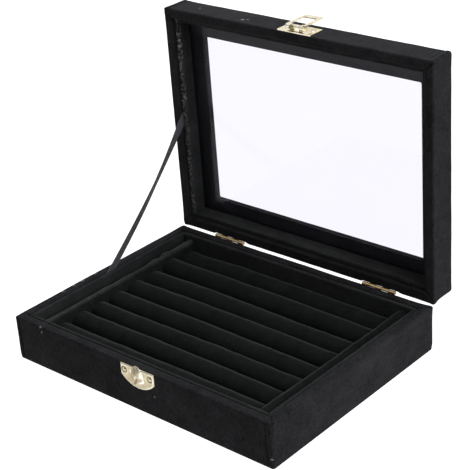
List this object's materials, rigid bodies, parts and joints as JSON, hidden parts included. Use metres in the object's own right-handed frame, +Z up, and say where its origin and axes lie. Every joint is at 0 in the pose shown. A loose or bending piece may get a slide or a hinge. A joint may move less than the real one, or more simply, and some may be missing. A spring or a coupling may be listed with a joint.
{
  "type": "ring display box",
  "caption": "Shallow velvet-covered display box with padded ring rolls, a hinged glass-windowed lid, a ribbon stay and a snap hasp on its front.",
  "frame": {"origin": "centre of the box's underside, on the surface it stands on", "axes": "+X to the right seen from the clasp side, +Y towards the hinges, +Z up"},
  "size_m": [0.2, 0.1766, 0.1849],
  "materials": {
    "velvet": "black pile velvet, soft sheen",
    "foam": null,
    "board": "raw fibreboard",
    "felt": "thin black felt",
    "glass": "clear, polished",
    "ribbon": "black satin ribbon",
    "brass": "bright pale plating"
  },
  "bodies": {
    "base": {"base_wall_front": "board", "base_wall_back": "board", "base_wall_left": "board", "base_wall_right": "board", "base_floor_board": "board", "base_velvet_wrap": "velvet", "base_underside_felt": "felt", "base_liner_front": "velvet", "base_liner_back": "velvet", "base_liner_left": "velvet", "base_liner_right": "velvet", "insert_pad": "velvet", "ring_roll_sleeve_1": "velvet", "ring_roll_core_1": "foam", "ring_roll_sleeve_2": "velvet", "ring_roll_core_2": "foam", "ring_roll_sleeve_3": "velvet", "ring_roll_core_3": "foam", "ring_roll_sleeve_4": "velvet", "ring_roll_core_4": "foam", "ring_roll_sleeve_5": "velvet", "ring_roll_core_5": "foam", "ring_roll_sleeve_6": "velvet", "ring_roll_core_6": "foam", "ring_roll_sleeve_7": "velvet", "ring_roll_core_7": "foam", "ring_roll_sleeve_8": "velvet", "ring_roll_core_8": "foam", "side_roll_sleeve_left": "velvet", "side_roll_core_left": "foam", "side_roll_sleeve_right": "velvet", "side_roll_core_right": "foam", "catch_plate": "brass", "base_nails": "brass", "hinge_base_leaf_left": "brass", "hinge_base_leaf_right": "brass", "hinge_pin_left": "brass", "hinge_pin_right": "brass", "ribbon_stay": "ribbon"},
    "lid": {"lid_wall_front": "board", "lid_wall_back": "board", "lid_wall_left": "board", "lid_wall_right": "board", "lid_top_rail_front": "board", "lid_top_rail_back": "board", "lid_top_rail_left": "board", "lid_top_rail_right": "board", "lid_velvet_wrap": "velvet", "glass_pane": "glass", "lid_liner_front": "velvet", "lid_liner_back": "velvet", "lid_liner_left": "velvet", "lid_liner_right": "velvet", "hinge_lid_leaf_left": "brass", "hinge_lid_leaf_right": "brass", "latch_plate": "brass", "lid_nails": "brass"},
    "latch": {"latch_hasp": "brass", "latch_pin": "brass"}
  },
  "joints": [
    {"name": "lid_hinge", "type": "hinge", "parent": "base", "child": "lid", "pos_m": [0, 0.0762, 0.029], "axis": [1, 0, 0], "range_deg": [0, 89.5], "deforming": ["ribbon_stay"]},
    {"name": "latch_hinge", "type": "hinge", "parent": "lid", "child": "latch", "pos_m": [0.0032, 0.07855, 0.18313], "axis": [1, 0, 0], "range_deg": [0, 180]}
  ]
}
